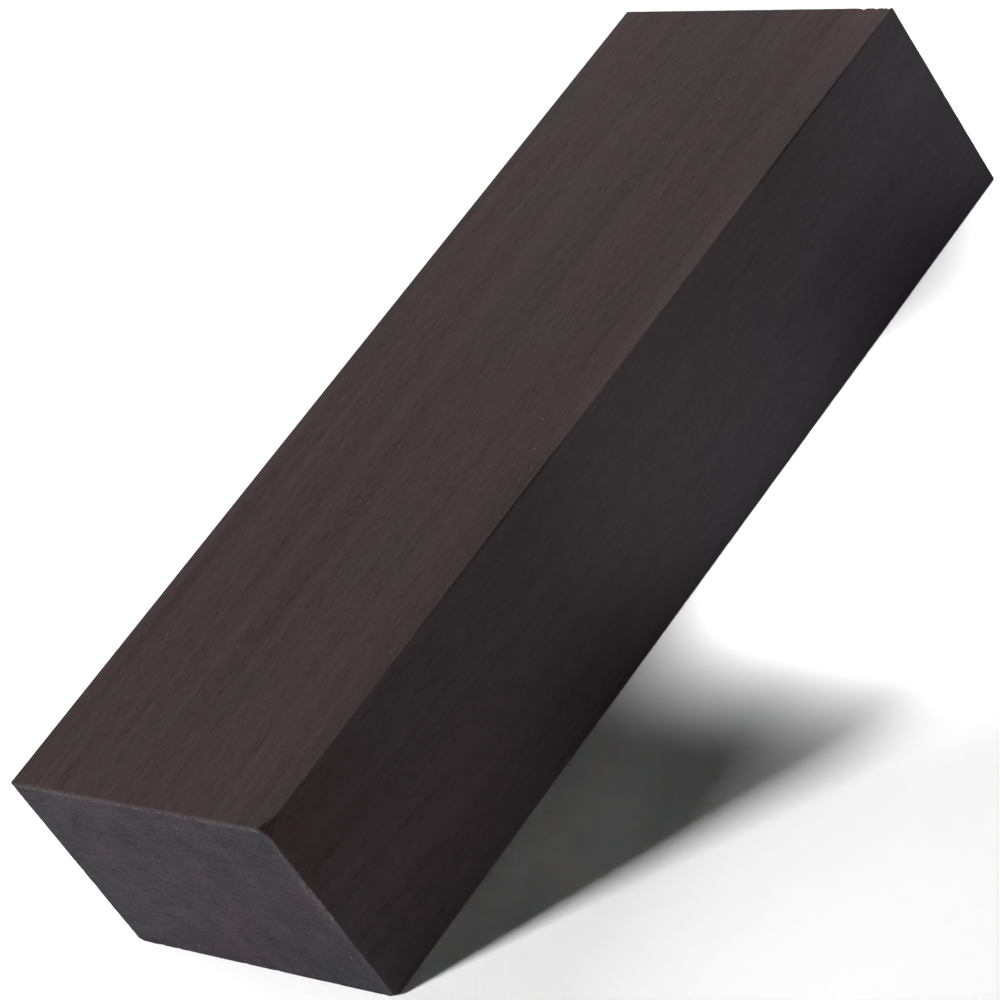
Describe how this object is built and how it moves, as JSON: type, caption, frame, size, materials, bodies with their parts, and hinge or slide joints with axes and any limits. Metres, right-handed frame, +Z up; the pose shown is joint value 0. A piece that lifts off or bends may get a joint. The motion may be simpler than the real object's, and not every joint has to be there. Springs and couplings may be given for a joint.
{
  "type": "hardwood block",
  "caption": "Rectangular sawn block of dark, fine-grained hardwood with crisp edges, for carving or for making a handle.",
  "frame": {"origin": "middle of the underside, the broad face that the block lies on", "axes": "+X along the grain, away from the end whose upper corner is knocked off; +Y across the broad face; +Z up through the thickness"},
  "size_m": [0.12, 0.0414, 0.0254],
  "materials": {
    "dark_hardwood": "unfinished, finely sawn and lightly sanded, matt, with blue-grey end grain"
  },
  "bodies": {
    "root": {"block": "dark_hardwood"}
  },
  "joints": []
}
